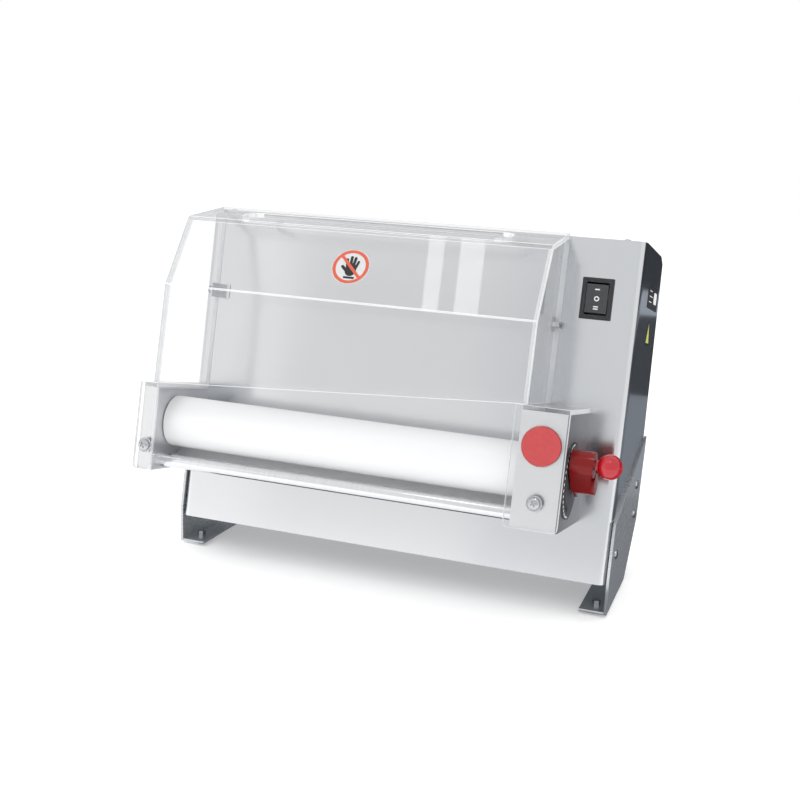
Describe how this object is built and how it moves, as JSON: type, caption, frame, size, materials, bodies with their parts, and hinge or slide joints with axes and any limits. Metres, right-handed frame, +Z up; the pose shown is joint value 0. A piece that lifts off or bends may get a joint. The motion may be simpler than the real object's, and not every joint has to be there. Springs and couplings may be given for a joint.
{
  "type": "dough sheeter",
  "caption": "Countertop dough sheeter: stainless body leaning back on skid feet, two white rollers in end blocks, clear feed guard, red gap lever on an index dial, switch and stop button.",
  "frame": {"origin": "centre of the footprint of the overall box, at the bottom of the rubber feet", "axes": "+X to the operator's right along the rollers, +Y from the operator to the rear, +Z up"},
  "size_m": [0.5244, 0.3304, 0.3975],
  "materials": {
    "stainless_sheet": "satin, lightly brushed",
    "skid_sheet": "satin",
    "block_sheet": "satin",
    "screw_steel": "bright plated",
    "polished_rod": "polished",
    "scraper_sheet": "satin",
    "shaft_steel": "ground",
    "gear_steel": "machined",
    "bearing_steel": "ground",
    "plate_aluminium": "milled",
    "pulley_aluminium": "turned",
    "gearbox_casting": "die cast",
    "bush_brass": "turned",
    "roller_white": "turned, fine satin",
    "clear_acrylic": "clear, polished edges",
    "dial_enamel": "printed enamel",
    "lever_red": "gloss",
    "knob_red": "polished",
    "button_red": "moulded",
    "black_plastic": "moulded",
    "rocker_plastic": "moulded",
    "foot_rubber": "matte",
    "belt_rubber": "matte",
    "motor_paint": "gloss",
    "notice_print": "printed film",
    "label_print": "printed film"
  },
  "bodies": {
    "frame": {"base_plate": "stainless_sheet", "body_shell": "stainless_sheet", "cable_gland": "black_plastic", "cover_screws": "screw_steel", "cover_tabs": "stainless_sheet", "drive_belt": "belt_rubber", "foot_bolts": "screw_steel", "front_scraper": "scraper_sheet", "gear_housing": "block_sheet", "gearbox": "gearbox_casting", "guard_hood": "clear_acrylic", "guard_left_shoe": "clear_acrylic", "guard_left_side": "clear_acrylic", "guard_notice": "notice_print", "guard_right_shoe": "clear_acrylic", "guard_right_side": "clear_acrylic", "guard_screws": "screw_steel", "guard_tabs": "stainless_sheet", "housing_side_cover": "block_sheet", "index_dial": "dial_enamel", "left_bearing_plate": "plate_aluminium", "left_block_cover": "block_sheet", "left_skid": "skid_sheet", "lever_bushes": "bush_brass", "motor": "motor_paint", "motor_bracket": "stainless_sheet", "rear_cover": "stainless_sheet", "rear_roller_bearings": "bearing_steel", "rear_scraper": "scraper_sheet", "right_bearing_plate": "plate_aluminium", "right_skid": "skid_sheet", "rubber_feet": "foot_rubber", "side_labels": "label_print", "skid_screws": "screw_steel", "stop_contact": "black_plastic", "switch_bezel": "black_plastic", "terminal_box": "black_plastic", "tie_rod": "polished_rod", "top_cover": "stainless_sheet"},
    "front_carriage": {"left_bearing_carrier": "plate_aluminium", "right_bearing_carrier": "plate_aluminium", "front_roller_bearings": "bearing_steel"},
    "front_roller": {"front_roller_sleeve": "roller_white", "front_roller_tube": "shaft_steel", "front_roller_gear": "gear_steel"},
    "rear_roller": {"rear_roller_sleeve": "roller_white", "rear_roller_shaft": "shaft_steel", "rear_roller_gear": "gear_steel", "roller_pulley_wheel": "pulley_aluminium"},
    "drive_shaft": {"gearbox_shaft": "shaft_steel", "motor_pulley_wheel": "pulley_aluminium"},
    "lever": {"gap_lever": "lever_red", "lever_cross_shaft": "shaft_steel", "left_gap_cam": "gear_steel", "right_gap_cam": "gear_steel"},
    "index_knob": {"index_pin": "shaft_steel", "ball_knob": "knob_red"},
    "rocker": {"switch_rocker": "rocker_plastic"},
    "stop": {"stop_button": "button_red"}
  },
  "joints": [
    {"name": "rear_roller_spin", "type": "hinge", "parent": "frame", "child": "rear_roller", "pos_m": [0, -0.05335, 0.14786], "axis": [1, 0, 0], "continuous": true},
    {"name": "drive_shaft_spin", "type": "hinge", "parent": "frame", "child": "drive_shaft", "pos_m": [0, 0.05636, 0.13258], "axis": [1, 0, 0], "continuous": true},
    {"name": "lever_turn", "type": "hinge", "parent": "frame", "child": "lever", "pos_m": [0, -0.11069, 0.16061], "axis": [1, 0, 0], "range_deg": [0, 120]},
    {"name": "carriage_slide", "type": "slide", "parent": "frame", "child": "front_carriage", "axis": [0, -0.9848, 0.1736], "range_m": [0, 0.005]},
    {"name": "front_roller_spin", "type": "hinge", "parent": "front_carriage", "child": "front_roller", "pos_m": [0, -0.10748, 0.16441], "axis": [1, 0, 0], "continuous": true},
    {"name": "knob_pull", "type": "slide", "parent": "lever", "child": "index_knob", "axis": [1, 0, 0], "range_m": [0, 0.005], "stiffness_N_per_m": 800},
    {"name": "rocker_tilt", "type": "hinge", "parent": "frame", "child": "rocker", "pos_m": [0, -0.00054, 0.33107], "axis": [1, 0, 0], "range_deg": [-9, 9]},
    {"name": "stop_press", "type": "slide", "parent": "frame", "child": "stop", "axis": [0, 0.9848, -0.1736], "range_m": [0, 0.0025], "stiffness_N_per_m": 700}
  ],
  "couplings": [
    {"joint": "front_roller_spin", "follows": "rear_roller_spin", "ratio": -1},
    {"joint": "drive_shaft_spin", "follows": "rear_roller_spin", "ratio": 1.6667},
    {"joint": "carriage_slide", "follows": "lever_turn", "m_per_rad": 0.0023873}
  ]
}
